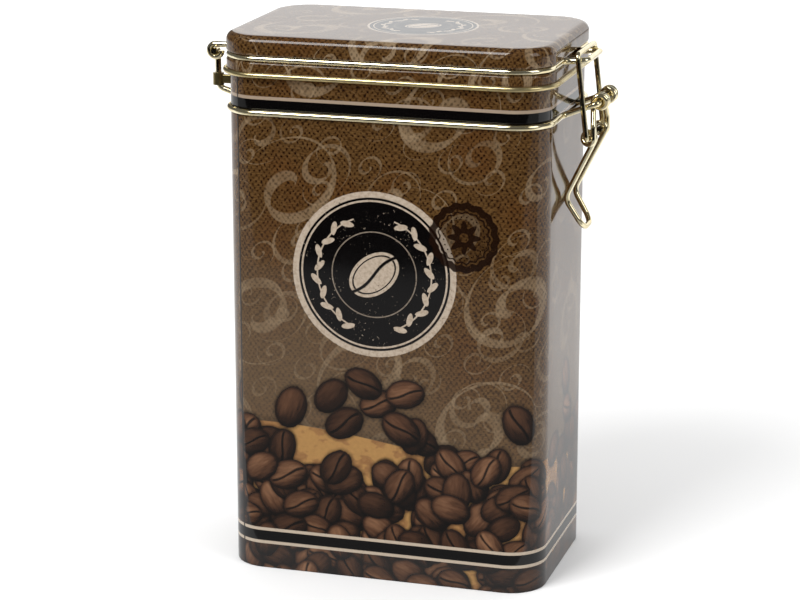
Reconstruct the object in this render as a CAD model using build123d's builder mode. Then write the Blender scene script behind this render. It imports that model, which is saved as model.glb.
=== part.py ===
"""Rectangular coffee tin with a hinged cap lid and a wire over-centre clasp.

Frame: origin at the centre of the base, on the surface that the tin stands on. +Z is up, +X is
towards the clasp, -X towards the hinge, and the broad front faces -Y.
"""
from build123d import *
from math import acos, atan2, cos, degrees, hypot, radians, sin
import os

# Body and lid outline
WIDTH = 117.0
DEPTH = 73.8
CORNER = 13.3
HEIGHT = 197.0
SHEET = 0.3
RIM_Z = 185.2
HEM_RADIUS = 0.75
HEM_LIP = 1.9

# Lid skirt, measured outwards from the body's outline
LID_OUT = 1.3
LID_EDGE_Z = 183.4
LID_CURL_RADIUS = 0.9
LID_TOP_RADIUS = 2.8
GROOVE_GAP = 0.05

# Wires
RING_WIRE = 2.2
LEVER_WIRE = 2.0
LINK_WIRE = 1.9
RUNNING = 0.08
SIDE_GAP = 0.25

# Ring wires: height, and how far the wire's centre lies outside the body's outline
BODY_RING_Z = 169.8
BODY_RING_OUT = 0.3
LID_RING_Z = 189.0
LID_RING_OUT = LID_OUT - RING_WIRE / 2

# Clasp, on +X, measured outwards from the body's side
PIVOT_OUT = 13.0
PIVOT_Z = 174.8
COIL_OUTER_Y = 8.8
COIL_PITCH = 2.35
COIL_CORNERS = 14
EYE_OUT = 9.65
EYE_Z = 162.0
HOOK_OUT = 6.0
HOOK_Z = 191.95
LID_NOSE_OUT = 9.0
LID_NOSE_Z = 189.6
LID_NOSE_Y = 10.8
HANDLE_BEND = (0.9, 7.1, 139.4)
HANDLE_TIP = (7.6, 5.6, 128.6)

# Hinge, on -X, measured outwards from the body's side
HINGE_OUT = 10.5
POST_FOOT_Z = 173.0
POST_Y = 10.0
CLIP_Z = (173.8, 178.2)
CLIP_WALL = 0.85
CLIP_TAIL = (3.4, 3.2, 1.5)

# Sealing ring and base
SEAL_Z = (RIM_Z + 0.1, LID_RING_Z - RING_WIRE / 2 - GROOVE_GAP - SHEET - 0.05)
SEAL_INSET = 2.4
BASE_RECESS = 2.8

HALF_WIDTH = WIDTH / 2
HALF_DEPTH = DEPTH / 2
NOSE_LEG_Y = COIL_OUTER_Y + LEVER_WIRE / 2 + RING_WIRE / 2 + 0.15
LINK_LEG_Y = NOSE_LEG_Y + RING_WIRE / 2 + LINK_WIRE / 2 + SIDE_GAP
EYE_Y = LINK_LEG_Y - LINK_WIRE / 2 - LEVER_WIRE / 2 - SIDE_GAP
EYE_INNER_Y = EYE_Y - COIL_PITCH
HINGE_EYE_RADIUS = RING_WIRE + RUNNING
HINGE_Z = LID_RING_Z - HINGE_EYE_RADIUS
HINGE_EYE_Y = POST_Y + RING_WIRE + 0.2
OCTAGON_HALF_STEP = 22.5


def outline_wire():
    """The body's outline at the base: the path that every wall section follows."""
    with BuildSketch() as outline:
        RectangleRounded(WIDTH, DEPTH, CORNER)
    return outline.sketch.face().outer_wire()


OUTLINE = outline_wire()


def section_plane():
    """Local x runs outwards from the outline and local y runs up."""
    tangent = OUTLINE % 0
    outward = tangent.cross(Vector(0, 0, 1))
    if outward.dot(OUTLINE @ 0) < 0:
        outward = -outward
    return Plane(origin=OUTLINE @ 0, x_dir=outward, z_dir=outward.cross(Vector(0, 0, 1)))


def sheet_section(points, radii, beads=()):
    """Section of a bent sheet with round beads, each (outwards, height, radius)."""
    with BuildSketch(section_plane()) as section:
        with BuildLine():
            FilletPolyline(*points, radius=radii)
        trace(line_width=SHEET)
        for out, height, radius in beads:
            with Locations((out, height)):
                Circle(radius)
    return section.sketch


def panel(inset, low, high):
    """A flat plate inside the outline, from low to high."""
    with BuildSketch(Plane.XY.offset(low)) as plate:
        RectangleRounded(WIDTH - 2 * inset, DEPTH - 2 * inset, CORNER - inset)
    extrude(plate.sketch, amount=high - low)


def right_side(out, y, z):
    return (HALF_WIDTH + out, y, z)


def left_side(out, y, z):
    return (-HALF_WIDTH - out, y, z)


def both_halves(front_half):
    """Continue a front half route, a list of (point, bend radius), with its mirror image."""
    back_half = [((x, -y, z), radius) for (x, y, z), radius in reversed(front_half)]
    return front_half + back_half


def bent_wire(route, diameter):
    """A round wire along a route. The end points carry no bend."""
    points = [point for point, radius in route]
    radii = [radius for point, radius in route[1:-1]]
    with BuildLine() as centre_line:
        FilletPolyline(*points, radius=radii)
    path = centre_line.wire()
    with BuildSketch(Plane(origin=path @ 0, z_dir=path % 0)) as section:
        Circle(diameter / 2)
    sweep(section.sketch, path=path)


def on_circle(centre, radius, angle):
    """A point at an angle in the (outwards, up) plane, 0 pointing outwards."""
    out, z = centre
    return out + radius * cos(radians(angle)), z + radius * sin(radians(angle))


def octagon_corner(centre, radius, angle):
    """A corner of the octagon that holds a circle, so that filleted corners follow the circle."""
    return on_circle(centre, radius / cos(radians(OCTAGON_HALF_STEP)), angle)


def ring_front(out, z, first_y, last_y):
    """The stretch of a ring wire from the hinge side, round the front, to the clasp side."""
    x, y = HALF_WIDTH + out, HALF_DEPTH + out
    corner = CORNER + out
    return [
        ((-x, -first_y, z), 3.0),
        ((-x, -y, z), corner),
        ((x, -y, z), corner),
        ((x, -last_y, z), 3.0),
    ]


def body_ring_route():
    post = [
        (left_side(HINGE_OUT, -HINGE_EYE_Y - RING_WIRE, HINGE_Z), 0),
        (left_side(HINGE_OUT, -POST_Y, HINGE_Z), RING_WIRE / 2 + 0.1),
        (left_side(HINGE_OUT, -POST_Y, POST_FOOT_Z), 3.0),
    ]
    ring = ring_front(BODY_RING_OUT, BODY_RING_Z, POST_Y, NOSE_LEG_Y)
    nose = [(right_side(PIVOT_OUT, -NOSE_LEG_Y, PIVOT_Z), 1.6)]
    return both_halves(post + ring + nose)


def lid_ring_route():
    centre = (HINGE_OUT, HINGE_Z)
    end_out, end_z = on_circle(centre, HINGE_EYE_RADIUS, 180)
    eye = [(left_side(end_out, -HINGE_EYE_Y, end_z), 0)]
    for step in range(6):
        angle = -180 + OCTAGON_HALF_STEP * (1 + 2 * step)
        out, z = octagon_corner(centre, HINGE_EYE_RADIUS, angle)
        eye.append((left_side(out, -HINGE_EYE_Y, z), 0.9 * HINGE_EYE_RADIUS))
    ring = ring_front(LID_RING_OUT, LID_RING_Z, HINGE_EYE_Y, LID_NOSE_Y)
    nose = [(right_side(LID_NOSE_OUT, -LID_NOSE_Y, LID_NOSE_Z), 2.5)]
    return both_halves(eye + ring + nose)


def lever_coil():
    """Turns on the body ring's nose, from the inner end to the leg."""
    centre = (PIVOT_OUT, PIVOT_Z)
    radius = (RING_WIRE + LEVER_WIRE) / 2 + RUNNING
    last_angle = 180 - OCTAGON_HALF_STEP
    first_y = COIL_OUTER_Y - COIL_PITCH * COIL_CORNERS / 8
    start_angle = last_angle - 45 * (COIL_CORNERS - 0.5)
    out, z = on_circle(centre, radius, start_angle)
    coil = [(right_side(out, -first_y, z), 0)]
    for step in range(COIL_CORNERS):
        to_go = COIL_CORNERS - 1 - step
        out, z = octagon_corner(centre, radius, last_angle - 45 * to_go)
        y = COIL_OUTER_Y - COIL_PITCH * to_go / 8
        coil.append((right_side(out, -y, z), 0.9 * radius))
    return coil


def lever_eye():
    """One full turn round the link's end, drawn inwards as it goes, then off to the handle."""
    centre = (EYE_OUT, EYE_Z)
    radius = (LINK_WIRE + LEVER_WIRE) / 2 + RUNNING
    eye = []
    for step in range(8):
        out, z = octagon_corner(centre, radius, -OCTAGON_HALF_STEP * (1 + 2 * step))
        drawn_in = min(1.0, step / 4) * COIL_PITCH
        eye.append((right_side(out, -EYE_Y + drawn_in, z), 0.9 * radius))
    bend_out, _, bend_z = HANDLE_BEND
    reach = hypot(bend_out - EYE_OUT, bend_z - EYE_Z)
    towards_bend = degrees(atan2(bend_z - EYE_Z, bend_out - EYE_OUT))
    half_turn = (towards_bend + degrees(acos(radius / reach))) / 2
    out, z = on_circle(centre, radius / cos(radians(half_turn)), half_turn)
    eye.append((right_side(out, -EYE_INNER_Y, z), radius))
    return eye


def lever_route():
    bend_out, bend_y, bend_z = HANDLE_BEND
    tip_out, tip_y, tip_z = HANDLE_TIP
    leg = [
        (right_side(EYE_OUT + 1.3, -COIL_OUTER_Y, PIVOT_Z - 3.0), 2.5),
        (right_side(EYE_OUT + 1.9, -EYE_Y, EYE_Z + 4.5), 2.5),
    ]
    handle = [
        (right_side(bend_out, -bend_y, bend_z), 5.0),
        (right_side(tip_out, -tip_y, tip_z), 4.5),
    ]
    return both_halves(lever_coil() + leg + lever_eye() + handle)


def link_route():
    stub_end_y = EYE_INNER_Y - LEVER_WIRE / 2 - 0.5
    return both_halves([
        (right_side(EYE_OUT, -stub_end_y, EYE_Z), 0),
        (right_side(EYE_OUT, -LINK_LEG_Y, EYE_Z), LINK_WIRE / 2 + 0.15),
        (right_side(HOOK_OUT, -LINK_LEG_Y, HOOK_Z), 1.6),
    ])


def hinge_clip(y):
    """A clip folded round one hinge post, with its two ends pinched into a tail."""
    post = left_side(HINGE_OUT, y, CLIP_Z[0])
    height = CLIP_Z[1] - CLIP_Z[0]
    bore = RING_WIRE / 2 + GROOVE_GAP
    tail_length, tail_height, tail_thick = CLIP_TAIL
    tail_from = bore + CLIP_WALL / 2
    with BuildSketch(Plane(origin=post)) as barrel:
        Circle(bore + CLIP_WALL)
        Circle(bore, mode=Mode.SUBTRACT)
    extrude(barrel.sketch, amount=height)
    tail_start = (post[0] + tail_from, y, CLIP_Z[0] + height / 2)
    with BuildSketch(Plane(origin=tail_start, x_dir=(0, 1, 0), z_dir=(1, 0, 0))) as tail:
        RectangleRounded(tail_thick, tail_height, 0.4)
    extrude(tail.sketch, amount=tail_length)


os.makedirs("parts", exist_ok=True)
MIDDLE = SHEET / 2

# Body wall: one sheet from the bottom lip, over the ring groove, to the rolled hem at the mouth.
GROOVE_FLOOR = BODY_RING_OUT - RING_WIRE / 2 - GROOVE_GAP - MIDDLE
with BuildPart() as body_wall:
    wall_section = sheet_section(
        [
            (-HEM_LIP, MIDDLE),
            (-MIDDLE, MIDDLE),
            (-MIDDLE, BODY_RING_Z - 1.45),
            (GROOVE_FLOOR, BODY_RING_Z - 1.05),
            (GROOVE_FLOOR, BODY_RING_Z + 1.05),
            (-MIDDLE, BODY_RING_Z + 1.45),
            (-MIDDLE, RIM_Z - HEM_RADIUS),
        ],
        [0.4, 0.3, 0.5, 0.5, 0.3],
        beads=[(0.05 - HEM_RADIUS, RIM_Z - HEM_RADIUS, HEM_RADIUS)],
    )
    sweep(wall_section, path=OUTLINE)
body_wall.part.label = "body_wall"
export_step(body_wall.part, "parts/body_wall.step")

# Base panel: a shallow pan whose turned-down flange stands on the wall's bottom lip.
FLANGE = -SHEET - MIDDLE - 0.02
PAN_INSET = 8.0
with BuildPart() as base_panel:
    pan_section = sheet_section(
        [(FLANGE, SHEET + 0.2), (FLANGE, BASE_RECESS), (-PAN_INSET - 0.5, BASE_RECESS)],
        [0.8],
    )
    sweep(pan_section, path=OUTLINE)
    panel(PAN_INSET, BASE_RECESS - MIDDLE, BASE_RECESS + MIDDLE)
base_panel.part.label = "base_panel"
export_step(base_panel.part, "parts/base_panel.step")

# Lower ring wire: hinge posts on the left, the clasp's nose on the right.
with BuildPart() as body_ring:
    bent_wire(body_ring_route(), RING_WIRE)
body_ring.part.label = "body_ring"
export_step(body_ring.part, "parts/body_ring.step")

# Hinge clips, one on each post.
for clip_name, clip_y in (("hinge_clip_front", -POST_Y), ("hinge_clip_back", POST_Y)):
    with BuildPart() as clip:
        hinge_clip(clip_y)
    clip.part.label = clip_name
    export_step(clip.part, f"parts/{clip_name}.step")

# Lid: a drawn cap with a full-depth groove for its ring wire and a curled edge.
SKIRT = LID_OUT - MIDDLE
LID_FLOOR = LID_RING_OUT - RING_WIRE / 2 - GROOVE_GAP - MIDDLE
LID_SLOT = RING_WIRE / 2 + GROOVE_GAP + MIDDLE
with BuildPart() as lid_shell:
    skirt_section = sheet_section(
        [
            (SKIRT, LID_EDGE_Z),
            (SKIRT, LID_RING_Z - LID_SLOT),
            (LID_FLOOR, LID_RING_Z - LID_SLOT),
            (LID_FLOOR, LID_RING_Z + LID_SLOT),
            (SKIRT, LID_RING_Z + LID_SLOT),
            (SKIRT, HEIGHT - MIDDLE),
            (-PAN_INSET - 0.5, HEIGHT - MIDDLE),
        ],
        [0.6, 1.3, 1.3, 0.6, LID_TOP_RADIUS],
        beads=[(LID_OUT + 0.45, LID_EDGE_Z, LID_CURL_RADIUS)],
    )
    sweep(skirt_section, path=OUTLINE)
    panel(PAN_INSET, HEIGHT - SHEET, HEIGHT)
lid_shell.part.label = "lid_shell"
export_step(lid_shell.part, "parts/lid_shell.step")

# Sealing ring, held in the skirt under the groove's inner bead, over the body's rim.
with BuildPart() as lid_seal:
    with BuildSketch(section_plane()) as seal_section:
        seal_out = LID_OUT - SHEET - 0.05
        with Locations(((seal_out - SEAL_INSET) / 2, sum(SEAL_Z) / 2)):
            RectangleRounded(seal_out + SEAL_INSET, SEAL_Z[1] - SEAL_Z[0], 0.4)
    sweep(seal_section.sketch, path=OUTLINE)
lid_seal.part.label = "lid_seal"
export_step(lid_seal.part, "parts/lid_seal.step")

# Upper ring wire: hinge eyes on the left, the nose that the link hooks over on the right.
with BuildPart() as lid_ring:
    bent_wire(lid_ring_route(), RING_WIRE)
lid_ring.part.label = "lid_ring"
export_step(lid_ring.part, "parts/lid_ring.step")

# Clasp lever: coils on the lower nose, eyes for the link, and the flared finger handle.
with BuildPart() as clasp_lever:
    bent_wire(lever_route(), LEVER_WIRE)
clasp_lever.part.label = "clasp_lever"
export_step(clasp_lever.part, "parts/clasp_lever.step")

# Clasp link: its ends turn inwards through the lever's eyes, its bar lies over the lid's nose.
with BuildPart() as clasp_link:
    bent_wire(link_route(), LINK_WIRE)
clasp_link.part.label = "clasp_link"
export_step(clasp_link.part, "parts/clasp_link.step")
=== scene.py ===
"""Looks of the wire-clasp coffee tin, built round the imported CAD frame.

Metres in the row frame: +Z is up, the broad front faces -Y, the clasp is on +X. The print is
laid out in millimetres. On the wall, s runs round the tin's outline from the middle of the front
towards the clasp, and t runs up. On the lid, s and t are x and y on the flat sheet that the lid
was drawn from.
"""
import math

import bpy
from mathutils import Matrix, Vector


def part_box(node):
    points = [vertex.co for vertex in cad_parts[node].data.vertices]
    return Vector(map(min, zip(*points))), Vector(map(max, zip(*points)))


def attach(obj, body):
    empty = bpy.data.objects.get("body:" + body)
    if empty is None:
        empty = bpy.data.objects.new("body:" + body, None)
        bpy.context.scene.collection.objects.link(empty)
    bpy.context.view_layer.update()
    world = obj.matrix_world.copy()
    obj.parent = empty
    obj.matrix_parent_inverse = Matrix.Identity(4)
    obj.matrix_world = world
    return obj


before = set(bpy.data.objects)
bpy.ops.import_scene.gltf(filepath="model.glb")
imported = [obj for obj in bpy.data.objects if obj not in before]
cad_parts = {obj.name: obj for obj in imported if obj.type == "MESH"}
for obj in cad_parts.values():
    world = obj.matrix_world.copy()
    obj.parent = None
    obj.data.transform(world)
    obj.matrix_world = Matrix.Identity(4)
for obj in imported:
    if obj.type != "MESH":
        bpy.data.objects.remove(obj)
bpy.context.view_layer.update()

MM = 0.001

# Outline and wall of the tin, in millimetres, as in the CAD model
WIDTH = 117.0
DEPTH = 73.8
CORNER = 13.3
SHEET = 0.3
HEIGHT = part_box("lid_shell")[1].z / MM
BODY_RING_Z = 169.8
LID_RING_Z = 189.0
LID_EDGE_Z = 183.4

HALF_FLAT_X = WIDTH / 2 - CORNER
HALF_FLAT_Y = DEPTH / 2 - CORNER
ARC = CORNER * math.pi / 2
ROUND = 4 * (HALF_FLAT_X + HALF_FLAT_Y + ARC)

# The printed coat stands this far proud of the sheet, and reaches as far into it
COAT = 0.05
# The front panel's two ends, just short of the corners
PANEL_EDGE = HALF_FLAT_X - 1.0
# The lap seam, in the front corner on the hinge's side
SIDE_SEAM = -HALF_FLAT_X - 0.64 * CORNER
# Steps round a corner of the tin, longest step on a flat, steps round a bend of the sheet
ARC_STEPS = 18
FLAT_STEP = 9.0
FILLET_STEPS = 9
# The mesh attribute that holds the place on the print
PRINT_MM = "print_mm"

# ---------------------------------------------------------------- node arithmetic


def feed(tree, slot, value):
    """Put a field or a plain value into an input socket."""
    if isinstance(value, Field):
        tree.links.new(value.socket, slot)
    else:
        slot.default_value = value


def maths(tree, operation, *values):
    node = tree.nodes.new("ShaderNodeMath")
    node.operation = operation
    for slot, value in zip(node.inputs, values):
        feed(tree, slot, value)
    return Field(tree, node.outputs[0])


def vectors(tree, operation, *values):
    """Vector arithmetic. A length or a dot product comes back as a number."""
    node = tree.nodes.new("ShaderNodeVectorMath")
    node.operation = operation
    for slot, value in zip(node.inputs, values):
        feed(tree, slot, value)
    number = operation in ("DOT_PRODUCT", "LENGTH")
    return Field(tree, node.outputs["Value" if number else "Vector"])


class Field:
    """A value that varies over the surface, with arithmetic that adds Math nodes."""

    def __init__(self, tree, socket):
        self.tree = tree
        self.socket = socket

    def math(self, operation, *others):
        return maths(self.tree, operation, self, *others)

    def __add__(self, other):
        return self.math("ADD", other)

    def __sub__(self, other):
        return self.math("SUBTRACT", other)

    def __mul__(self, other):
        return self.math("MULTIPLY", other)

    def __truediv__(self, other):
        return self.math("DIVIDE", other)

    __radd__ = __add__
    __rmul__ = __mul__

    def __rsub__(self, other):
        return maths(self.tree, "SUBTRACT", other, self)

    def sin(self):
        return self.math("SINE")

    def cos(self):
        return self.math("COSINE")

    def sqrt(self):
        return self.math("SQRT")

    def abs(self):
        return self.math("ABSOLUTE")

    def fract(self):
        return self.math("FRACT")

    def floor(self):
        return self.math("FLOOR")

    def sign(self):
        return self.math("SIGN")

    def most(self, other):
        return self.math("MAXIMUM", other)

    def below(self, other):
        return self.math("LESS_THAN", other)

    def angle(self, across):
        return self.math("ARCTAN2", across)

    def squared(self):
        return self * self

    def remap(self, low, high, at_low, at_high):
        node = self.tree.nodes.new("ShaderNodeMapRange")
        node.interpolation_type = "SMOOTHSTEP"
        for label, value in (("Value", self), ("From Min", low), ("From Max", high),
                             ("To Min", at_low), ("To Max", at_high)):
            feed(self.tree, node.inputs[label], value)
        return Field(self.tree, node.outputs["Result"])

    def rise(self, low, high):
        """0 up to low, 1 from high on, smooth in between."""
        return self.remap(low, high, 0.0, 1.0)

    def fall(self, low, high):
        return self.remap(low, high, 1.0, 0.0)


def hypot(a, b):
    """How long the line from 0 to (a, b) is."""
    return (a.squared() + b.squared()).sqrt()


def point(tree, x, y, z=0.0):
    node = tree.nodes.new("ShaderNodeCombineXYZ")
    for slot, value in zip(node.inputs, (x, y, z)):
        feed(tree, slot, value)
    return Field(tree, node.outputs[0])


def parts(tree, vector):
    node = tree.nodes.new("ShaderNodeSeparateXYZ")
    feed(tree, node.inputs[0], vector)
    return [Field(tree, socket) for socket in node.outputs]


def noise(tree, vector, scale, detail=2.0, roughness=0.5):
    """Cloudy noise from 0 to 1, about 0.5 in the middle."""
    node = tree.nodes.new("ShaderNodeTexNoise")
    feed(tree, node.inputs["Vector"], vector)
    node.inputs["Scale"].default_value = scale
    node.inputs["Detail"].default_value = detail
    node.inputs["Roughness"].default_value = roughness
    return Field(tree, node.outputs["Fac"])


def random_cell(tree, vector):
    """Four independent random numbers for the whole-number cell of a vector."""
    node = tree.nodes.new("ShaderNodeTexWhiteNoise")
    node.noise_dimensions = "3D"
    feed(tree, node.inputs["Vector"], vector)
    split = tree.nodes.new("ShaderNodeSeparateColor")
    tree.links.new(node.outputs["Color"], split.inputs[0])
    sockets = [*split.outputs, node.outputs["Value"]]
    return [Field(tree, socket) for socket in sockets]


def rgb(colour):
    return (*colour, 1.0)


def blend(tree, factor, under, over):
    """The colour over laid on the colour under, as far as factor says."""
    node = tree.nodes.new("ShaderNodeMix")
    node.data_type = "RGBA"
    feed(tree, node.inputs["Factor"], factor)
    for label, value in (("A", under), ("B", over)):
        slot = next(s for s in node.inputs if s.name == label and s.type == "RGBA")
        feed(tree, slot, value if isinstance(value, Field) else rgb(value))
    return Field(tree, next(s for s in node.outputs if s.type == "RGBA"))


def scaled(tree, colour, factor):
    """A colour or a vector times a number."""
    node = tree.nodes.new("ShaderNodeVectorMath")
    node.operation = "SCALE"
    feed(tree, node.inputs[0], colour)
    feed(tree, node.inputs["Scale"], factor)
    return Field(tree, node.outputs[0])


def ramp(tree, factor, stops):
    """A colour ramp through (place, colour) stops."""
    node = tree.nodes.new("ShaderNodeValToRGB")
    feed(tree, node.inputs[0], factor)
    elements = node.color_ramp.elements
    while len(elements) < len(stops):
        elements.new(0.5)
    for element, (place, colour) in zip(elements, stops):
        element.position = place
        element.color = rgb(colour)
    return Field(tree, node.outputs[0])


def node_group(name, inputs, outputs):
    """An empty group: its tree, its input fields by name, and its output node."""
    tree = bpy.data.node_groups.new(name, "ShaderNodeTree")
    for label, kind in inputs:
        tree.interface.new_socket(label, in_out="INPUT", socket_type=kind)
    for label, kind in outputs:
        tree.interface.new_socket(label, in_out="OUTPUT", socket_type=kind)
    entry = tree.nodes.new("NodeGroupInput")
    fields = {label: Field(tree, entry.outputs[label]) for label, kind in inputs}
    return tree, fields, tree.nodes.new("NodeGroupOutput")


def use_group(tree, group, **values):
    """A node that runs a group on the given inputs."""
    node = tree.nodes.new("ShaderNodeGroup")
    node.node_tree = group
    for label, value in values.items():
        feed(tree, node.inputs[label], value)
    return node


NUMBER = "NodeSocketFloat"
COLOUR = "NodeSocketColor"
VECTOR = "NodeSocketVector"

# ---------------------------------------------------------------- the print

CREAM = (0.43, 0.355, 0.275)
# The same cream darkened as painted shade, for the lines just under the lid
CREAM_IN_PAINTED_SHADE = (0.27, 0.205, 0.150)
PAPER = (0.385, 0.315, 0.245)
PAPER_WORN = (0.230, 0.172, 0.118)
INK = (0.0022, 0.0018, 0.0018)
STAMP = (0.0085, 0.0032, 0.0016)
KRAFT = (0.232, 0.116, 0.043)
KRAFT_LIGHT = (0.325, 0.180, 0.061)
KRAFT_DARK = (0.180, 0.082, 0.029)
THREAD_DARK = (0.050, 0.0235, 0.0066)
THREAD_LIGHT = (0.100, 0.0515, 0.0170)
THREAD_RED = (0.076, 0.0270, 0.0066)
HOLE = (0.0170, 0.0068, 0.0020)
HAZE = (0.128, 0.092, 0.060)
SCRIPT = (0.225, 0.160, 0.095)
BEAN_TONES = [(0.0, (0.003, 0.0015, 0.0010)), (0.20, (0.016, 0.0068, 0.0037)),
              (0.48, (0.072, 0.0315, 0.0155)), (1.0, (0.225, 0.112, 0.058))]

# Sacking: from thread to thread, and how far the threads wander, in millimetres
WEAVE_ACROSS = 0.97
WEAVE_UP = 1.22
WANDER_ACROSS = 3.6
WANDER_UP = 3.4

# Curls of the pen: cell size and pen width in millimetres, seed, strength
CURLS = [(47.0, 2.9, 3.0, 0.56), (27.0, 1.5, 8.0, 0.47), (15.0, 0.75, 5.0, 0.42)]
CURL_SLANT = 0.30
# Within a cell, in cell sizes: how far a curl reaches, and how far its middle strays
CURL_REACH = 0.46
CURL_STRAY = 0.06
LID_BOLDNESS = 1.5

# A bean's half length and half width, in cell sizes
BEAN_LENGTH = 0.382
BEAN_WIDTH = 0.275
# Bean layers from the bottom of the heap to the top: cell size and height of the heap
BEANS = [(20.6, 54.0), (19.8, 53.0), (21.4, 52.0), (19.4, 51.0), (21.0, 50.0), (20.1, 49.0),
         (21.8, 48.0), (20.4, 47.0), (19.6, 46.0), (21.2, 44.0), (20.0, 42.0)]
BEAN_LAYER_TURN = 0.7
# The heap's crest waves round the tin: how far, how many radians a millimetre, starting where
HEAP_WAVE = 12.0
HEAP_WAVE_RATE = 0.0748
HEAP_WAVE_START = -0.70
# How much likelier a bean gets with each millimetre below the crest
HEAP_CHANCE = 0.13
# Above the crest: how likely a stray bean is, and the heights over which that fades to nothing
STRAY_CHANCE = 0.16
STRAY_FADE = (71.0, 76.0)

# The kraft paper's upper edge: its height, how far it rises and falls once round the tin, and a
# smaller wave, written like the heap's
KRAFT_EDGE = 52.5
KRAFT_TILT = 5.0
KRAFT_WAVE = 1.2
KRAFT_WAVE_RATE = 0.053
KRAFT_WAVE_START = 2.9

# The grey wash over the sacking: strength, the heights over which it fades, and how far they
# rise and fall, twice round the tin
HAZE_AMOUNT = 0.40
HAZE_FADE = (50.0, 128.0)
HAZE_WAVE = 20.0

# Dark bands: lower and upper edge, heights of the two lines beside each, colour of the lines.
# Under the lid the lines' cream is darkened as painted shade
BANDS = [(10.6, 14.4, (10.0, 15.0), CREAM), (170.8, 174.7, (170.2, 175.2), CREAM_IN_PAINTED_SHADE)]
LINE_HALF = 0.58

# Round labels and stamp: place from the middle of the panel, radius, and the inner edge of the
# label's cream band in radii
LABEL_AT = (-2.0, 114.3)
LABEL_RADIUS = 30.2
LABEL_BAND = 0.922
LID_LABEL_AT = (5.0, 0.5)
LID_LABEL_RADIUS = 20.0
LID_LABEL_BAND = 0.955
STAMP_AT = (30.7, 130.0)
STAMP_RADIUS = 12.9

# Parts of the label, in radii. The laurel has so many leaves to half a circle, and ends at an
# angle above and below the middle. The bean and the fine line in it have two half lengths each
LEAVES = 13.0
LAUREL_RADIUS = 0.695
LAUREL_END = 1.21
LABEL_CIRCLE = 0.513
LABEL_RING = 0.882
LABEL_BEAN = (0.345, 0.235)
LABEL_BEAN_LINE = (0.290, 0.185)


def weave_group():
    """Sacking: staggered dark gaps between threads of uneven brown."""
    tree, given, out = node_group("sacking", [("s", NUMBER), ("t", NUMBER)],
                                  [("Color", COLOUR), ("Gap", NUMBER)])
    s, t = given["s"], given["t"]
    place = point(tree, s, t)
    drift = noise(tree, place, 0.11, 3.0, 0.6) - 0.5
    sway = noise(tree, point(tree, t, s, 7.0), 0.14, 3.0, 0.6) - 0.5
    across = (s + drift * WANDER_ACROSS) * (math.pi / WEAVE_ACROSS)
    up = (t + sway * WANDER_UP) * (math.pi / WEAVE_UP)
    lattice = across.cos() * up.cos()
    grain = noise(tree, place, 0.70, 3.0, 0.7) - 0.5
    gap = (lattice * 0.85 + grain * 4.2).rise(-0.35, 1.05)
    fibre = noise(tree, point(tree, s * 0.45, t * 2.3, 3.0), 1.1, 3.0, 0.65)
    thread = blend(tree, fibre.rise(0.34, 0.66), THREAD_DARK, THREAD_LIGHT)
    patch = noise(tree, point(tree, s, t, 21.0), 0.045, 2.0).rise(0.47, 0.70)
    thread = blend(tree, patch * 0.4, thread, THREAD_RED)
    tree.links.new(blend(tree, gap, thread, HOLE).socket, out.inputs["Color"])
    tree.links.new(gap.socket, out.inputs["Gap"])
    return tree


def scroll_group():
    """One curl of pen flourish in each cell: a slanted spiral, thick and thin like a pen's."""
    tree, given, out = node_group(
        "pen_curl", [("s", NUMBER), ("t", NUMBER), ("Cell", NUMBER), ("Seed", NUMBER),
                     ("Width", NUMBER)], [("Ink", NUMBER)])
    s, t, cell, seed = (given[k] for k in ("s", "t", "Cell", "Seed"))
    across = (s - t * CURL_SLANT) / cell + seed * 0.37
    up = t / cell + seed * 0.61 + across.floor() * 0.37
    first, second, third, fourth = random_cell(tree, point(tree, across.floor(), up.floor(), seed))
    hand = (first - 0.5).sign()
    x = (across.fract() - 0.5 - (second - 0.5) * CURL_STRAY) * hand
    y = up.fract() - 0.5 - (third - 0.5) * CURL_STRAY
    radius = hypot(x, y)
    turn = y.angle(x)
    pitch = 0.25 + fourth * 0.08
    phase = (radius / pitch - turn * (0.5 / math.pi) + second).fract()
    away = (phase - 0.5).abs() * pitch
    pen = ((turn + 0.7).cos().abs() * 0.75 + 0.25) * given["Width"] / cell
    pen = pen * radius.fall(0.22, CURL_REACH) * radius.rise(0.02, 0.10)
    ink = away.fall(pen * 0.7, pen * 1.05) * radius.below(CURL_REACH) * fourth.below(0.86)
    tree.links.new(ink.socket, out.inputs["Ink"])
    return tree


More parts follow.
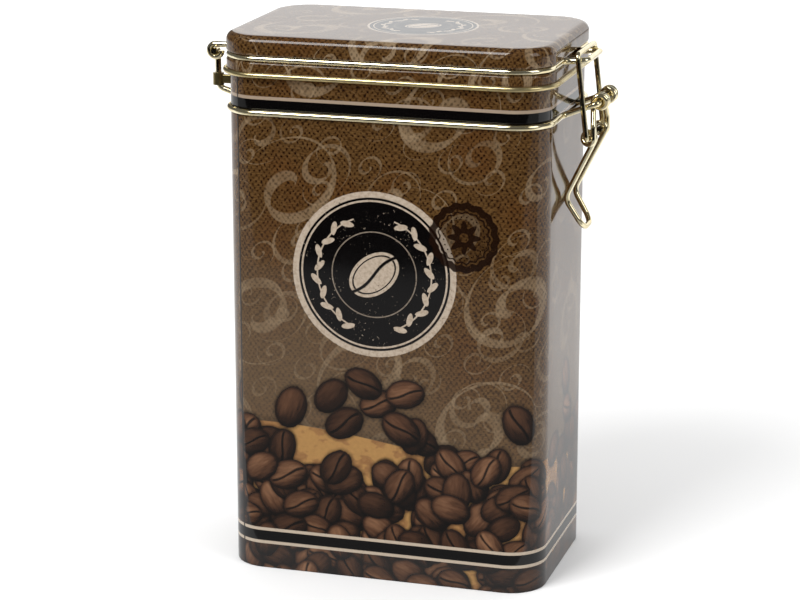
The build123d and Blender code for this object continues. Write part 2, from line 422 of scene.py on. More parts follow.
def bean_group():
    """A layer of roasted beans, at most one in each cell, laid over the colour under it."""
    tree, given, out = node_group(
        "bean_layer", [("Under", COLOUR), ("Place", VECTOR), ("s", NUMBER), ("t", NUMBER),
                       ("Shift", VECTOR), ("Turn", VECTOR), ("Scale", VECTOR),
                       ("Along", VECTOR), ("Up", VECTOR), ("Light", VECTOR), ("Top", NUMBER)],
        [("Color", COLOUR)])
    mapping = tree.nodes.new("ShaderNodeMapping")
    for label, name in (("Vector", "Place"), ("Location", "Shift"), ("Rotation", "Turn"),
                        ("Scale", "Scale")):
        feed(tree, mapping.inputs[label], given[name])
    grid = Field(tree, mapping.outputs[0])
    dice = tree.nodes.new("ShaderNodeTexWhiteNoise")
    dice.noise_dimensions = "3D"
    feed(tree, dice.inputs["Vector"], vectors(tree, "FLOOR", grid))
    luck = Field(tree, dice.outputs["Color"])
    first, second, third = parts(tree, luck)
    nudge = vectors(tree, "MULTIPLY_ADD", luck, (0.04, 0.04, 0.0), (-0.52, -0.52, 0.0))
    local = vectors(tree, "ADD", vectors(tree, "FRACTION", grid), nudge)

    middle_s = given["s"] - vectors(tree, "DOT_PRODUCT", local, given["Along"])
    middle_t = given["t"] - vectors(tree, "DOT_PRODUCT", local, given["Up"])
    crest = given["Top"] + (middle_s * HEAP_WAVE_RATE + HEAP_WAVE_START).sin() * HEAP_WAVE
    chance = (crest - middle_t) * HEAP_CHANCE
    chance = chance.most(middle_t.fall(*STRAY_FADE) * STRAY_CHANCE)
    present = Field(tree, dice.outputs["Value"]).below(chance)

    spin = tree.nodes.new("ShaderNodeVectorRotate")
    spin.rotation_type = "Z_AXIS"
    feed(tree, spin.inputs["Vector"], local)
    feed(tree, spin.inputs["Angle"], third * (2 * math.pi))
    size = (first * 0.17 + 1.0) / BEAN_LENGTH
    oval = scaled(tree, Field(tree, spin.outputs[0]), size)
    stretched = vectors(tree, "MULTIPLY", oval, (1.0, BEAN_LENGTH / BEAN_WIDTH, 0.0))
    grain_place = vectors(tree, "MULTIPLY_ADD", stretched, (0.8, 2.4, 0.0),
                          scaled(tree, luck, 40.0))
    streak = noise(tree, grain_place, 1.6, 3.0, 0.6)
    d = vectors(tree, "LENGTH", stretched) + (streak - 0.5) * 0.14
    p, q, _ = parts(tree, stretched)
    inside = d.fall(0.95, 1.0) * present
    shadow = d.fall(0.88, 1.20) * present

    flat_side = (third * 7.31).fract().below(0.60)
    off_crease = (q - (p * 2.5).sin() * 0.17 + (streak - 0.5) * 0.12).abs()
    crease = off_crease.fall(0.035, 0.13) * p.abs().fall(0.76, 0.95)
    lip = off_crease.fall(0.12, 0.60) * 0.13

    dome = (1.0 - d.squared()).most(0.01).sqrt()
    light = dome * 0.46 + vectors(tree, "DOT_PRODUCT", local, given["Light"])
    glint = light.rise(0.42, 0.74) * 0.22
    tone = light + lip * flat_side + glint * (1.0 - flat_side) + (streak - 0.5) * 0.62
    tone = tone * (second * 0.80 + 0.50) * (d.fall(0.74, 1.02) * 0.66 + 0.34)
    bean = scaled(tree, ramp(tree, tone, BEAN_TONES), 1.0 - crease * flat_side * 0.90)
    under = scaled(tree, given["Under"], 1.0 - shadow * 0.80)
    tree.links.new(blend(tree, inside, under, bean).socket, out.inputs["Color"])
    return tree


def medallion_group():
    """A round label in units of its radius: worn rings, a laurel and one large bean."""
    tree, given, out = node_group(
        "medallion", [("x", NUMBER), ("y", NUMBER), ("Band", NUMBER)],
        [("Color", COLOUR), ("Alpha", NUMBER)])
    x, y = given["x"], given["y"]
    place = point(tree, x, y)
    r = hypot(x, y)
    wear = noise(tree, place, 3.2, 4.0, 0.6)
    specks = noise(tree, place, 21.0, 3.0, 0.7)
    rubbed = specks.rise(0.60, 0.66) * wear.rise(0.50, 0.66)

    side_turn = y.angle(x.abs())
    sector = side_turn * (LEAVES / math.pi)
    tangential = (sector.fract() - 0.5) * (math.pi / LEAVES) * r
    radial = r - LAUREL_RADIUS
    parity = ((sector.floor() * 0.5).fract() - 0.25).sign()
    lift = radial * parity
    leaf_along = tangential * 0.80 + lift * 0.60
    leaf_aside = lift * 0.80 - tangential * 0.60 - 0.028
    leaf = hypot(leaf_along / 0.085, leaf_aside / 0.036).fall(0.92, 1.04)
    stem = radial.abs().fall(0.006, 0.012)
    laurel = leaf.most(stem) * side_turn.abs().fall(LAUREL_END - 0.005, LAUREL_END + 0.005)

    along = x * 0.78 + y * 0.62
    aside = y * 0.78 - x * 0.62
    bean = hypot(along / LABEL_BEAN[0], aside / LABEL_BEAN[1]).fall(0.97, 1.0)
    fold = (aside - (along * 8.0).sin() * 0.035).abs().rise(0.012, 0.026)
    rim = hypot(along / LABEL_BEAN_LINE[0], aside / LABEL_BEAN_LINE[1])
    hatch = 1.0 - rim.rise(0.95, 0.99) * rim.fall(1.03, 1.07) * fold
    bean = bean * fold * hatch

    thin_circle = (r - LABEL_CIRCLE).abs().fall(0.004, 0.010) * 0.45
    thin_ring = (r - LABEL_RING).abs().fall(0.008, 0.014)
    band = (r - given["Band"]).rise(-0.005, 0.005)
    cream = laurel.most(bean).most(thin_circle).most(thin_ring).most(band)
    cream = cream * (1.0 - rubbed * 0.80)
    flecks = noise(tree, point(tree, x, y, 4.0), 30.0, 2.0, 0.7).rise(0.63, 0.69)
    cream = cream.most(flecks * wear.fall(0.40, 0.50) * 0.7)
    paper = blend(tree, specks.rise(0.40, 0.66) * 0.6, PAPER, PAPER_WORN)
    tree.links.new(blend(tree, cream, INK, paper).socket, out.inputs["Color"])
    tree.links.new((r + (specks - 0.5) * 0.012).fall(0.990, 1.0).socket, out.inputs["Alpha"])
    return tree


def stamp_group():
    """A dark scalloped ink stamp in units of its radius, with a plain eight-rayed star."""
    tree, given, out = node_group("ink_stamp", [("x", NUMBER), ("y", NUMBER)],
                                  [("Ink", NUMBER)])
    x, y = given["x"], given["y"]
    place = point(tree, x, y)
    r = hypot(x, y)
    turn = y.angle(x)
    uneven = noise(tree, place, 4.0, 4.0, 0.65)
    edge = r - (turn * 17.0).cos() * 0.026 + (uneven - 0.5) * 0.05
    rim = edge.fall(0.96, 0.985) * edge.rise(0.76, 0.785)
    inner = (edge - 0.70).abs().fall(0.018, 0.032)
    star = (r - (turn * 8.0).cos() * 0.10 - 0.36).fall(0.0, 0.035)
    hub = r.rise(0.11, 0.14)
    dots = hypot(((turn * (12.0 / math.pi)).fract() - 0.5) * 0.15, r - 0.575).fall(0.018, 0.034)
    ink = rim.most(inner).most(star * hub).most(dots)
    ink = ink * uneven.rise(0.26, 0.40) * 0.97
    ink = ink.most(edge.fall(0.96, 0.985) * 0.42)
    tree.links.new(ink.socket, out.inputs["Ink"])
    return tree


SACKING = weave_group()
PEN_CURL = scroll_group()
BEAN_LAYER = bean_group()
MEDALLION = medallion_group()
STAMP_INK = stamp_group()


def sacking_with_curls(tree, s, t, boldness=1.0):
    """Sacking with three sizes of pale pen curls on it, worn thin in places."""
    cloth = use_group(tree, SACKING, s=s, t=t)
    colour = Field(tree, cloth.outputs["Color"])
    gap = Field(tree, cloth.outputs["Gap"])
    worn = noise(tree, point(tree, s, t, 5.0), 0.10, 3.0).rise(0.30, 0.62) * 0.5 + 0.5
    for cell, width, seed, strength in CURLS:
        curl = use_group(tree, PEN_CURL, s=s, t=t, Cell=cell, Width=width, Seed=seed)
        ink = Field(tree, curl.outputs["Ink"])
        cover = ink * worn * (1.0 - gap * 0.50) * (strength * boldness)
        colour = blend(tree, cover, colour, SCRIPT)
    return colour


def kraft_and_beans(tree, colour, s, t):
    """The paper band round the foot of the tin and the heap of beans printed on it."""
    slope = (s * (2 * math.pi / ROUND)).sin() * KRAFT_TILT
    wave = (s * KRAFT_WAVE_RATE + KRAFT_WAVE_START).sin() * KRAFT_WAVE
    edge = t + slope - wave - KRAFT_EDGE
    flakes = noise(tree, point(tree, s, t * 1.3, 2.0), 0.10, 3.0, 0.6)
    fine = noise(tree, point(tree, s, t, 9.0), 0.8, 3.0, 0.6)
    paper = blend(tree, flakes.rise(0.49, 0.54) * 0.8, KRAFT, KRAFT_LIGHT)
    stain = flakes.rise(0.40, 0.44) * flakes.fall(0.45, 0.47)
    paper = blend(tree, stain * 0.5, paper, KRAFT_DARK)
    paper = scaled(tree, paper, fine * 0.34 + 0.83)
    cast = edge.rise(-0.2, 0.2) * edge.fall(0.2, 3.2)
    colour = scaled(tree, colour, 1.0 - cast * 0.30)
    colour = blend(tree, edge.fall(-0.25, 0.15), colour, paper)
    place = point(tree, s, t)
    for index, (cell, top) in enumerate(BEANS):
        turn = BEAN_LAYER_TURN * index
        cos, sin = math.cos(turn), math.sin(turn)
        layer = use_group(
            tree, BEAN_LAYER, Under=colour, Place=place, s=s, t=t, Top=top,
            Shift=(17.31 * index + 0.4, 5.73 * index + 0.2, 0.0), Turn=(0.0, 0.0, turn),
            Scale=(1 / cell, 1 / cell, 1.0),
            Along=(cos * cell, sin * cell, 0.0), Up=(-sin * cell, cos * cell, 0.0),
            Light=(-0.45 * cos - 0.75 * sin, 0.75 * cos - 0.45 * sin, 0.0))
        colour = Field(tree, layer.outputs["Color"])
    return colour


def line_at(t, height, half):
    """1 on a level line whose middle is at height and whose half width is half."""
    return (t - height).abs().fall(half - 0.08, half + 0.08)


def stripes(tree, colour, t):
    """A dark band between two cream lines at the foot, and again under the lid, with its lines
    darkened as painted shade.
    """
    for low, high, lines, tone in BANDS:
        band = t.rise(low - 0.1, low + 0.1) * t.fall(high - 0.1, high + 0.1)
        colour = blend(tree, band, colour, INK)
        for height in lines:
            colour = blend(tree, line_at(t, height, LINE_HALF), colour, tone)
    return colour


def lay_medallion(tree, colour, x, y, centre, radius, band):
    """The round label laid over a colour."""
    label = use_group(tree, MEDALLION, x=(x - centre[0]) / radius, y=(y - centre[1]) / radius,
                      Band=band)
    alpha = Field(tree, label.outputs["Alpha"])
    return blend(tree, alpha, colour, Field(tree, label.outputs["Color"]))


def lay_stamp(tree, colour, x, y, centre, radius):
    """The ink stamp laid over a colour."""
    stamp = use_group(tree, STAMP_INK, x=(x - centre[0]) / radius, y=(y - centre[1]) / radius)
    return blend(tree, Field(tree, stamp.outputs["Ink"]), colour, STAMP)


# ---------------------------------------------------------------- materials

LACQUER_SPECULAR = 0.34
# Depth of the sheet's slow waves and of the lacquer's orange peel, in millimetres
WAVE_DEPTH = 0.16
PEEL_DEPTH = 0.0016


def new_material(name):
    """A material with its Principled shader and an empty tree to draw in."""
    material = bpy.data.materials.new(name)
    material.use_nodes = True
    return material, material.node_tree, material.node_tree.nodes["Principled BSDF"]


def set_bump(tree, shader, height, metres):
    """Bump the shader's surface by height, of which 1.0 stands for so many metres."""
    node = tree.nodes.new("ShaderNodeBump")
    node.inputs["Strength"].default_value = 1.0
    node.inputs["Distance"].default_value = metres
    feed(tree, node.inputs["Height"], height)
    tree.links.new(node.outputs["Normal"], shader.inputs["Normal"])


def lacquer(tree, shader, colour, place):
    """Glossy clear lacquer over print: faint orange peel and the sheet's slow waves."""
    tree.links.new(colour.socket, shader.inputs["Base Color"])
    shader.inputs["IOR"].default_value = 1.5
    shader.inputs["Specular IOR Level"].default_value = LACQUER_SPECULAR
    haze = noise(tree, place, 0.35, 3.0)
    feed(tree, shader.inputs["Roughness"], haze * 0.07 + 0.050)
    waves = noise(tree, place, 0.022, 1.0) * WAVE_DEPTH
    set_bump(tree, shader, waves + noise(tree, place, 0.55, 2.0) * PEEL_DEPTH, MM)


def print_place(tree):
    """The place on the print: the whole vector, then s and t."""
    node = tree.nodes.new("ShaderNodeAttribute")
    node.attribute_name = PRINT_MM
    vector = Field(tree, node.outputs["Vector"])
    s, t, _ = parts(tree, vector)
    return vector, s, t


def seam_and_painted_highlight(tree, colour, s):
    """The lap seam down the front corner away from the clasp: a dark line, and beside it a pale
    line of painted highlight.
    """
    off = s - SIDE_SEAM
    colour = scaled(tree, colour, 1.0 - (off - 0.35).abs().fall(0.30, 0.65) * 0.85)
    # The pale cream line beside the seam is a painted highlight
    return blend(tree, (off + 0.60).abs().fall(0.10, 0.50) * 0.25, colour, CREAM)


def wall_print(name, labelled=None):
    """Print of one side of the tin, with label and stamp if its middle is given along s."""
    material, tree, shader = new_material(name)
    place, s, t = print_place(tree)
    colour = sacking_with_curls(tree, s, t)
    haze = (t + (s * (4 * math.pi / ROUND)).sin() * HAZE_WAVE).fall(*HAZE_FADE)
    colour = blend(tree, haze * HAZE_AMOUNT, colour, HAZE)
    colour = kraft_and_beans(tree, colour, s, t)
    if labelled is not None:
        across = s - labelled
        colour = lay_medallion(tree, colour, across, t, LABEL_AT, LABEL_RADIUS, LABEL_BAND)
        colour = lay_stamp(tree, colour, across, t, STAMP_AT, STAMP_RADIUS)
    colour = stripes(tree, colour, t)
    colour = seam_and_painted_highlight(tree, colour, s)
    lacquer(tree, shader, colour, place)
    return material


def lid_print(name, with_label):
    """Print of the lid, with the small round label if the material is for its top."""
    material, tree, shader = new_material(name)
    place, s, t = print_place(tree)
    colour = sacking_with_curls(tree, s, t, LID_BOLDNESS)
    if with_label:
        colour = lay_medallion(tree, colour, s, t, LID_LABEL_AT, LID_LABEL_RADIUS,
                               LID_LABEL_BAND)
    lacquer(tree, shader, colour, place)
    return material


def object_place(tree, scale):
    """Place on the object in millimetres, scaled along x, y and z."""
    node = tree.nodes.new("ShaderNodeTexCoord")
    x, y, z = parts(tree, Field(tree, node.outputs["Object"]))
    across, deep, up = (k / MM for k in scale)
    return point(tree, x * across, y * deep, z * up)


def metal(name, light, dark, roughness, spread, dents, stretch=(1.0, 1.0, 1.0)):
    """Plated or lacquered metal whose tone, gloss and surface vary a little.

    Roughness goes up from its lowest value by spread, dents are in millimetres, and stretch
    scales the pattern along x, y and z.
    """
    material, tree, shader = new_material(name)
    place = object_place(tree, stretch)
    cloud = noise(tree, place, 0.16, 3.0)
    grain = noise(tree, place, 1.7, 3.0, 0.6)
    spots = noise(tree, place, 0.9, 4.0, 0.7).rise(0.62, 0.74)
    colour = blend(tree, cloud.rise(0.35, 0.68), light, dark)
    colour = blend(tree, spots * 0.35, colour, tuple(0.55 * k for k in dark))
    tree.links.new(colour.socket, shader.inputs["Base Color"])
    shader.inputs["Metallic"].default_value = 1.0
    feed(tree, shader.inputs["Roughness"], grain * spread + spots * 0.12 + roughness)
    set_bump(tree, shader, grain * dents + cloud * dents * 4.0, MM)
    return material


def rubber(name, colour):
    """Dusty matt rubber."""
    material, tree, shader = new_material(name)
    place = object_place(tree, (1.0, 1.0, 1.0))
    cloud = noise(tree, place, 0.12, 3.0)
    grain = noise(tree, place, 2.2, 3.0)
    dusty = scaled(tree, point(tree, *colour), cloud * 0.35 + 0.80)
    tree.links.new(dusty.socket, shader.inputs["Base Color"])
    feed(tree, shader.inputs["Roughness"], grain * 0.2 + 0.48)
    set_bump(tree, shader, grain * 0.02, MM)
    return material


def wear(obj, material):
    """Give an object one material all over."""
    obj.data.materials.clear()
    obj.data.materials.append(material)


# ---------------------------------------------------------------- printed coats

# How far the flat coat on the lid's top lies inside the outline
LID_TOP_INSET = 3.4
# No station comes nearer than this to a panel's edge
NEAREST = 0.05
SHARP = math.radians(35)


def outline(s):
    """Place and outward direction on the tin's outline at s."""
    s = (s + ROUND / 2) % ROUND - ROUND / 2
    side = math.copysign(1.0, s)
    left = abs(s)
    if left <= HALF_FLAT_X:
        return Vector((side * left, -DEPTH / 2)), Vector((0.0, -1.0))
    left -= HALF_FLAT_X
    if left <= ARC:
        out = Vector((math.sin(left / CORNER), -math.cos(left / CORNER)))
        place = Vector((HALF_FLAT_X, -HALF_FLAT_Y)) + out * CORNER
    elif left <= ARC + 2 * HALF_FLAT_Y:
        out = Vector((1.0, 0.0))
        place = Vector((WIDTH / 2, left - ARC - HALF_FLAT_Y))
    elif left <= 2 * ARC + 2 * HALF_FLAT_Y:
        turn = (left - ARC - 2 * HALF_FLAT_Y) / CORNER
        out = Vector((math.cos(turn), math.sin(turn)))
        place = Vector((HALF_FLAT_X, HALF_FLAT_Y)) + out * CORNER
    else:
        out = Vector((0.0, 1.0))
        place = Vector((HALF_FLAT_X - (left - 2 * ARC - 2 * HALF_FLAT_Y), DEPTH / 2))
    return Vector((side * place.x, place.y)), Vector((side * out.x, out.y))


def stations(first, last):
    """Values of s from first to last: close together in the corners, wide on the flats."""
    ticks = []
    start = -HALF_FLAT_X
    for flat in (2 * HALF_FLAT_X, 2 * HALF_FLAT_Y) * 2:
        count = math.ceil(flat / FLAT_STEP)
        ticks += [start + flat * step / count for step in range(count)]
        ticks += [start + flat + ARC * step / ARC_STEPS for step in range(ARC_STEPS)]
        start += flat + ARC
    ticks += [tick + ROUND for tick in ticks] + [SIDE_SEAM + ROUND]
    inner = sorted(tick for tick in ticks if first + NEAREST < tick < last - NEAREST)
    return [first, *inner, last]


def rounded_path(points, radii):
    """A path of (outwards, up) points whose corners are rounded to the radii."""
    path = [Vector(points[0])]
    for before, corner, after, radius in zip(points, points[1:], points[2:], radii):
        corner = Vector(corner)
        back = (Vector(before) - corner).normalized()
        onward = (Vector(after) - corner).normalized()
        half = back.angle(onward) / 2
        centre = corner + (back + onward).normalized() * (radius / math.sin(half))
        first = corner + back * (radius / math.tan(half)) - centre
        last = corner + onward * (radius / math.tan(half)) - centre
        start = math.atan2(first.y, first.x)
        sweep = (math.atan2(last.y, last.x) - start + math.pi) % (2 * math.pi) - math.pi
        for step in range(FILLET_STEPS + 1):
            turn = start + sweep * step / FILLET_STEPS
            path.append(centre + radius * Vector((math.cos(turn), math.sin(turn))))
    path.append(Vector(points[-1]))
    return path


def divided(path):
    """The path with its long straight runs cut into shorter ones."""
    cut = [path[0]]
    for first, last in zip(path, path[1:]):
        count = math.ceil((last - first).length / FLAT_STEP)
        cut += [first.lerp(last, (step + 1) / count) for step in range(count)]
    return cut


def beside(path, distance):
    """The path moved sideways, outwards where it climbs."""
    moved = []
    for index, place in enumerate(path):
        run = path[min(index + 1, len(path) - 1)] - path[max(index - 1, 0)]
        run.normalize()
        moved.append(place + Vector((run.y, -run.x)) * distance)
    return moved


def mesh_object(name, places, faces, corners):
    """A mesh whose corners carry their place on the print."""
    mesh = bpy.data.meshes.new(name)
    mesh.from_pydata([tuple(k * MM for k in place) for place in places], [], faces)
    layer = mesh.attributes.new(PRINT_MM, "FLOAT_VECTOR", "CORNER")
    flat = [k for corner in corners for s, t in corner for k in (s, t, 0.0)]
    layer.data.foreach_set("vector", flat)
    mesh.shade_smooth()
    mesh.set_sharp_from_angle(angle=SHARP)
    mesh.update()
    obj = bpy.data.objects.new(name, mesh)
    bpy.context.scene.collection.objects.link(obj)
    return obj


def coat(name, path, around, print_at, closed=False):
    """A thin closed coat over the sheet: path up the wall, stations around it.

    print_at(s, row, past) gives a place on the print. Past the side seam, past is one turn.
    """
    outer = beside(path, SHEET / 2 + COAT)
    inner = beside(path, SHEET / 2 - COAT)
    rows = len(path)
    columns = len(around) - 1 if closed else len(around)
    places = []
    for skin in (outer, inner):
        for s in around[:columns]:
            foot, out = outline(s)
            places += [(*(foot + out * off), up) for off, up in skin]

    faces, corners = [], []

    def add(*grid):
        """One face through (skin, station, row) corners."""
        faces.append([(k * columns + i % columns) * rows + j for k, i, j in grid])
        middle = sum(around[i] for k, i, j in grid) / len(grid)
        past = ROUND if middle > SIDE_SEAM + ROUND else 0.0
        corners.append([print_at(around[i], j, past) for k, i, j in grid])

    for i in range(len(around) - 1):
        for j in range(rows - 1):
            add((0, i, j), (0, i + 1, j), (0, i + 1, j + 1), (0, i, j + 1))
            add((1, i, j), (1, i, j + 1), (1, i + 1, j + 1), (1, i + 1, j))
        add((1, i, 0), (1, i + 1, 0), (0, i + 1, 0), (0, i, 0))
        add((0, i, rows - 1), (0, i + 1, rows - 1), (1, i + 1, rows - 1), (1, i, rows - 1))
    if not closed:
        end = len(around) - 1
        for j in range(rows - 1):
            add((1, 0, j), (0, 0, j), (0, 0, j + 1), (1, 0, j + 1))
            add((0, end, j), (1, end, j), (1, end, j + 1), (0, end, j + 1))
    return mesh_object(name, places, faces, corners)


def plate(name, inset, low, high):
    """A flat coat on the lid, inset from the outline. Its place on the print is its x and y."""
    around = stations(-HALF_FLAT_X, ROUND - HALF_FLAT_X)[:-1]
    rim = []
    for s in around:
        foot, out = outline(s)
        rim.append(foot - out * inset)
    count = len(rim)
    places = [(*place, up) for up in (high, low) for place in rim]
    faces = [list(range(count)), list(range(2 * count - 1, count - 1, -1))]
    for i in range(count):
        j = (i + 1) % count
        faces.append([count + i, count + j, j, i])
    corners = [[places[k][:2] for k in face] for face in faces]
    return mesh_object(name, places, faces, corners)


def print_on_wall(s, row, past):
    """The wall is printed flat and bent round, so its print goes by s and the height."""
    return s - past, wall_path[row].y


def print_on_lid(s, row, past):
    """The lid is drawn from a flat sheet, so its print runs on over the edge from the top."""
    rest = zip(lid_path[row:], lid_path[row + 1:])
    foot, out = outline(s)
    return foot + out * (sum((last - first).length for first, last in rest) - LID_TOP_INSET)


# The middle of the sheet up the wall, as (outwards from the outline, height)
MIDDLE = SHEET / 2
FOOT_TURN = 1.2
FOOT_RADIUS = 0.4
GROOVE_OUT = -1.0
GROOVE_FLOOR_HALF = 1.05
GROOVE_MOUTH_HALF = 1.45
GROOVE_MOUTH_RADIUS = 0.3
GROOVE_FLOOR_RADIUS = 0.5
PRINT_TOP = 184.0
# The coat leaves out this many points, and starts a little way up the foot's bend
UNPRINTED = 3
wall_path = divided(rounded_path(
    [(-FOOT_TURN, MIDDLE), (-MIDDLE, MIDDLE), (-MIDDLE, BODY_RING_Z - GROOVE_MOUTH_HALF),
     (GROOVE_OUT, BODY_RING_Z - GROOVE_FLOOR_HALF), (GROOVE_OUT, BODY_RING_Z + GROOVE_FLOOR_HALF),
     (-MIDDLE, BODY_RING_Z + GROOVE_MOUTH_HALF), (-MIDDLE, PRINT_TOP)],
    [FOOT_RADIUS, GROOVE_MOUTH_RADIUS, GROOVE_FLOOR_RADIUS, GROOVE_FLOOR_RADIUS,
     GROOVE_MOUTH_RADIUS]))[UNPRINTED:]

# The same up the lid's skirt, from above its gold curl, over the edge and onto the top
ABOVE_CURL = 0.8
LID_OUT = 1.15
LID_GROOVE_OUT = -1.1
LID_SLOT_HALF = 1.3
# The groove's floor is a half circle, less a little so that its two bends don't meet
LID_SLOT_RADIUS = LID_SLOT_HALF - 0.01
LID_MOUTH_RADIUS = 0.6
LID_TOP_RADIUS = 2.8
lid_path = divided(rounded_path(
    [(LID_OUT, LID_EDGE_Z + ABOVE_CURL), (LID_OUT, LID_RING_Z - LID_SLOT_HALF),
     (LID_GROOVE_OUT, LID_RING_Z - LID_SLOT_HALF), (LID_GROOVE_OUT, LID_RING_Z + LID_SLOT_HALF),
     (LID_OUT, LID_RING_Z + LID_SLOT_HALF), (LID_OUT, HEIGHT - MIDDLE),
     (-LID_TOP_INSET, HEIGHT - MIDDLE)],
    [LID_MOUTH_RADIUS, LID_SLOT_RADIUS, LID_SLOT_RADIUS, LID_MOUTH_RADIUS, LID_TOP_RADIUS]))

BACK = ROUND / 2
front_material = wall_print("front_print", 0.0)
back_material = wall_print("back_print", BACK)
side_material = wall_print("side_print")
PANELS = [
    ("print_front", -PANEL_EDGE, PANEL_EDGE, front_material),
    ("print_clasp_side", PANEL_EDGE, BACK - PANEL_EDGE, side_material),
    ("print_back", BACK - PANEL_EDGE, BACK + PANEL_EDGE, back_material),
    ("print_hinge_side", BACK + PANEL_EDGE, ROUND - PANEL_EDGE, side_material),
]
for panel_name, first_s, last_s, panel_material in PANELS:
    panel = coat(panel_name, wall_path, stations(first_s, last_s), print_on_wall)
    wear(panel, panel_material)
    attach(panel, "tin")

lid_side = coat("lid_print_side", lid_path, stations(-HALF_FLAT_X, ROUND - HALF_FLAT_X),
                print_on_lid, closed=True)
wear(lid_side, lid_print("lid_side_print", False))
lid_top = plate("lid_print_top", LID_TOP_INSET, HEIGHT - COAT, HEIGHT + COAT)
wear(lid_top, lid_print("lid_top_print", True))
for coat_piece in (lid_side, lid_top):
    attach(coat_piece, "lid")

# ---------------------------------------------------------------- finishes of the CAD pieces

gilt = metal("gilt_wire_finish", (0.88, 0.80, 0.56), (0.80, 0.69, 0.42), 0.09, 0.09, 0.002)
gold_lacquer = metal("gold_lacquer_finish", (0.63, 0.53, 0.285), (0.57, 0.46, 0.225), 0.24, 0.12,
                     0.002)
olive_gilt = metal("clip_finish", (0.36, 0.29, 0.13), (0.22, 0.165, 0.065), 0.24, 0.18, 0.006)
tin_sheet = metal("bare_tin_finish", (0.62, 0.61, 0.58), (0.50, 0.49, 0.46), 0.26, 0.16, 0.002,
                  (0.2, 3.0, 1.0))
FINISHES = {
    "body_wall": gold_lacquer, "base_panel": tin_sheet, "lid_shell": gold_lacquer,
    "body_ring": gilt, "lid_ring": gilt, "clasp_lever": gilt, "clasp_link": gilt,
    "hinge_clip_front": olive_gilt, "hinge_clip_back": olive_gilt,
    "lid_seal": rubber("seal_rubber_finish", (0.42, 0.40, 0.36)),
}
for node_name, finish in FINISHES.items():
    wear(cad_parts[node_name], finish)

# ---------------------------------------------------------------- floor, light and camera


def stage_sheet(name, x, y, z, tone, glow=0.0):
    """A flat matt grey sheet on the floor that isn't part of the object.

    It glows as strongly as glow says far from the tin, where the lamps don't reach.
    """
    corners = [(x[0], y[0], z), (x[1], y[0], z), (x[1], y[1], z), (x[0], y[1], z)]
    mesh = bpy.data.meshes.new(name)
    mesh.from_pydata(corners, [], [[0, 1, 2, 3]])
    sheet = bpy.data.objects.new(name, mesh)
    bpy.context.scene.collection.objects.link(sheet)
    material, tree, shader = new_material(name)
    shader.inputs["Base Color"].default_value = (tone, tone, tone, 1.0)
    shader.inputs["Roughness"].default_value = 0.9
    shader.inputs["Specular IOR Level"].default_value = 0.0
    if glow:
        far = vectors(tree, "LENGTH", object_place(tree, (MM, MM, MM)))
        feed(tree, shader.inputs["Emission Strength"], far.rise(0.4, 2.0) * glow)
    wear(sheet, material)
    return sheet


def soft_light(name, place, target, size, watts):
    """A soft box that isn't seen itself."""
    data = bpy.data.lights.new(name, "AREA")
    data.shape = "RECTANGLE"
    data.size, data.size_y = size
    data.energy = watts
    light = bpy.data.objects.new(name, data)
    light.location = place
    light.rotation_mode = "QUATERNION"
    light.rotation_quaternion = (Vector(target) - Vector(place)).to_track_quat("-Z", "Y")
    light.visible_camera = False
    bpy.context.scene.collection.objects.link(light)
    return light


STAGE_REACH = 6.0
ALL_ACROSS = (-STAGE_REACH, STAGE_REACH)
floor = stage_sheet("floor", ALL_ACROSS, ALL_ACROSS, 0.0, 0.90, glow=0.80)
floor.visible_glossy = False

# What the tin's glossy faces see below them: a table, its front part in shade, and no light
# past its front edge
TABLE_SHADE = -0.06
TABLE_EDGE = -0.455
CARD_HEIGHT = 0.0003
for card_name, card_y, card_tone in (
        ("table", (TABLE_SHADE, STAGE_REACH), 0.87),
        ("shaded_table", (TABLE_EDGE, TABLE_SHADE), 0.30),
        ("dark_room", (-STAGE_REACH, TABLE_EDGE), 0.0)):
    card = stage_sheet(card_name, ALL_ACROSS, card_y, CARD_HEIGHT, card_tone)
    card.visible_camera = False
    card.visible_diffuse = False
    card.visible_shadow = False

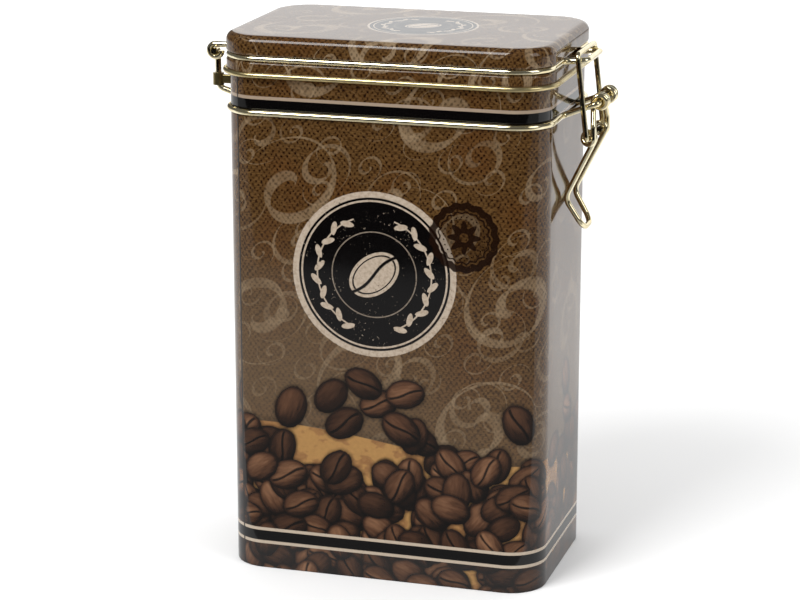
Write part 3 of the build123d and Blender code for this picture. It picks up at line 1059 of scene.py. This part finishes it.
# Each light's place, target, size and watts
top_fill = soft_light("top_fill", (0.0, 0.15, 1.5), (0.0, 0.0, 0.0), (3.0, 3.0), 22.0)
top_fill.visible_glossy = False
soft_light("top_box", (0.0, 0.15, 1.5), (0.0, 0.0, 0.0), (3.0, 3.0), 17.0)
soft_light("back_box", (0.61, 1.5, 0.62), (0.61, 0.0, 0.35), (2.76, 1.0), 9.6)
soft_light("key_box", (-0.65, -1.25, 1.5), (0.0, 0.0, 0.1), (0.9, 0.9), 28.0)
soft_light("clasp_box", (1.3, -0.5, 0.85), (0.03, 0.0, 0.12), (0.6, 0.9), 5.0)

# The world is white to the camera, dim as a light and dimmer still in reflections
SKY_SEEN = 1.0
SKY_LIGHT = 0.32
SKY_MIRRORED = 0.12
world = bpy.data.worlds.new("studio")
bpy.context.scene.world = world
world.use_nodes = True
sky_tree = world.node_tree
sky = sky_tree.nodes["Background"]
path_node = sky_tree.nodes.new("ShaderNodeLightPath")
seen = Field(sky_tree, path_node.outputs["Is Camera Ray"]) * (SKY_SEEN - SKY_LIGHT)
mirrored = Field(sky_tree, path_node.outputs["Is Glossy Ray"]) * (SKY_MIRRORED - SKY_LIGHT)
feed(sky_tree, sky.inputs["Strength"], seen + mirrored + SKY_LIGHT)
sky.inputs["Color"].default_value = (1.0, 1.0, 1.0, 1.0)

# The camera that the photo was fitted with: round to the clasp's side, and looking down
YAW = math.radians(16.62)
PITCH = math.radians(15.36)
DISTANCE = 0.9767
LOOKS_AT = Vector((-0.0035, 0.0, 0.0953))
camera_data = bpy.data.cameras.new("camera")
camera_data.lens = 119.9
camera_data.sensor_width = 36.0
camera = bpy.data.objects.new("camera", camera_data)
back = Vector((math.sin(YAW) * math.cos(PITCH), -math.cos(YAW) * math.cos(PITCH),
               math.sin(PITCH)))
camera.location = LOOKS_AT + back * DISTANCE
camera.rotation_mode = "QUATERNION"
camera.rotation_quaternion = (-back).to_track_quat("-Z", "Y")
bpy.context.scene.collection.objects.link(camera)
bpy.context.scene.camera = camera
bpy.context.scene.view_settings.view_transform = "Standard"
